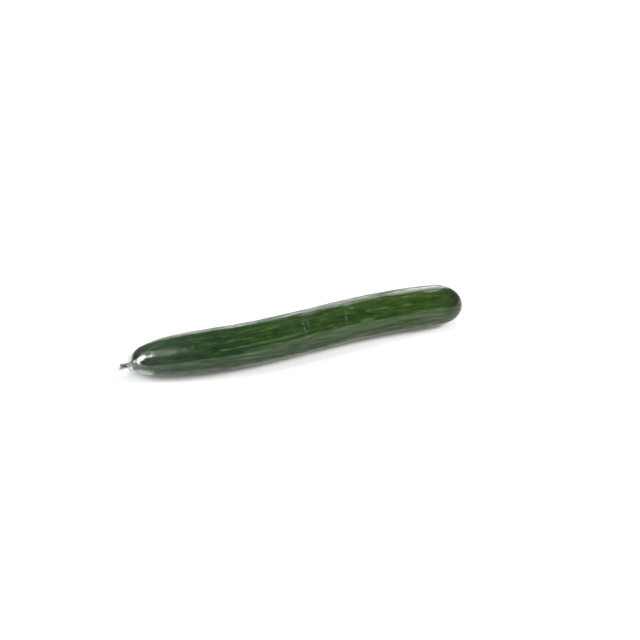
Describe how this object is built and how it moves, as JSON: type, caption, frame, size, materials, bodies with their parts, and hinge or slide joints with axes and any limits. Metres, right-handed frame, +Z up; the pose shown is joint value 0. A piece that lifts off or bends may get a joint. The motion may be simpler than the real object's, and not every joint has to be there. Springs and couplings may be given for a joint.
{
  "type": "shrink-wrapped cucumber",
  "caption": "Long dark green greenhouse cucumber with low ribs, lying on its side, shrunk tight in clear film that is gathered round the stem stub.",
  "frame": {"origin": "on the floor, at mid length, in the middle of the flat strip that the cucumber lies on", "axes": "+X along the fruit from the stem end to the blossom end, +Z up from the floor, +Y to the back"},
  "size_m": [0.3633, 0.061, 0.0446],
  "materials": {
    "cucumber_skin": "waxy satin",
    "clear_film": "clear gloss"
  },
  "bodies": {
    "root": {"cucumber_fruit": "cucumber_skin", "shrink_film": "clear_film"}
  },
  "joints": []
}
